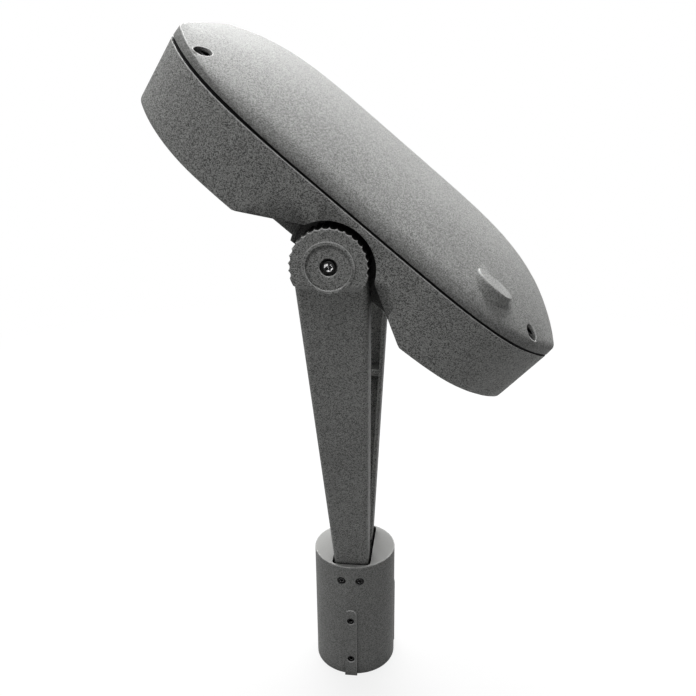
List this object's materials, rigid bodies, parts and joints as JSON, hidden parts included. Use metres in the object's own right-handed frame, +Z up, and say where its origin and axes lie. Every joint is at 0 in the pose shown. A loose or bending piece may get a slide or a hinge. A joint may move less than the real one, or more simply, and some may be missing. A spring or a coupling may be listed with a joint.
{
  "type": "adjustable led street light head",
  "caption": "Pole-top LED light head with a domed lid and two lens windows, tilting between two splayed arms on a collar with set screws.",
  "frame": {"origin": "on the axis of the pole socket, at its open lower end", "axes": "+Z up along the socket axis, Y along the tilt axis with the near arm at -Y, +X towards the lowered end of the head"},
  "size_m": [0.3625, 0.332, 0.6897],
  "materials": {
    "collar_paint": "grey textured powder coat",
    "arm_paint": "grey textured powder coat",
    "housing_paint": "grey textured powder coat",
    "cover_paint": "grey textured powder coat",
    "dark_steel": "blackened steel",
    "bright_steel": "plain stainless steel",
    "black_rubber": "matt silicone rubber",
    "grey_fibre": "dense fibre washer",
    "white_board": "white solder mask on aluminium",
    "yellow_chip": "phosphor window",
    "clear_lens": "clear moulded polycarbonate",
    "zinc_plate": "zinc plated sheet",
    "driver_case": "bare extruded aluminium",
    "white_plastic": "white moulded plastic",
    "black_plastic": "black moulded nylon"
  },
  "bodies": {
    "fork": {"pole_collar": "collar_paint", "set_screws": "dark_steel", "wire_grommet": "black_rubber", "arm_screws": "dark_steel", "front_arm": "arm_paint", "rear_arm": "arm_paint"},
    "head": {"head_housing": "housing_paint", "head_cover": "cover_paint", "front_pivot_screw": "bright_steel", "rear_pivot_screw": "bright_steel", "front_pivot_washer": "grey_fibre", "rear_pivot_washer": "grey_fibre", "cover_gasket": "black_rubber", "cover_screws": "dark_steel", "upper_led_board": "white_board", "lower_led_board": "white_board", "upper_led_chips": "yellow_chip", "lower_led_chips": "yellow_chip", "upper_lens_gasket": "black_rubber", "lower_lens_gasket": "black_rubber", "upper_lens_plate": "clear_lens", "lower_lens_plate": "clear_lens", "lens_screws": "bright_steel", "driver_bracket": "zinc_plate", "led_driver": "driver_case", "bracket_screws": "bright_steel", "surge_protector": "white_plastic", "terminal_block": "white_plastic", "cable_gland": "black_plastic", "gland_nut": "black_plastic", "breather_vent": "black_plastic"}
  },
  "joints": [
    {"name": "head_tilt", "type": "hinge", "parent": "fork", "child": "head", "pos_m": [0, 0, 0.505], "axis": [0, 1, 0], "range_deg": [-95, 15]}
  ]
}
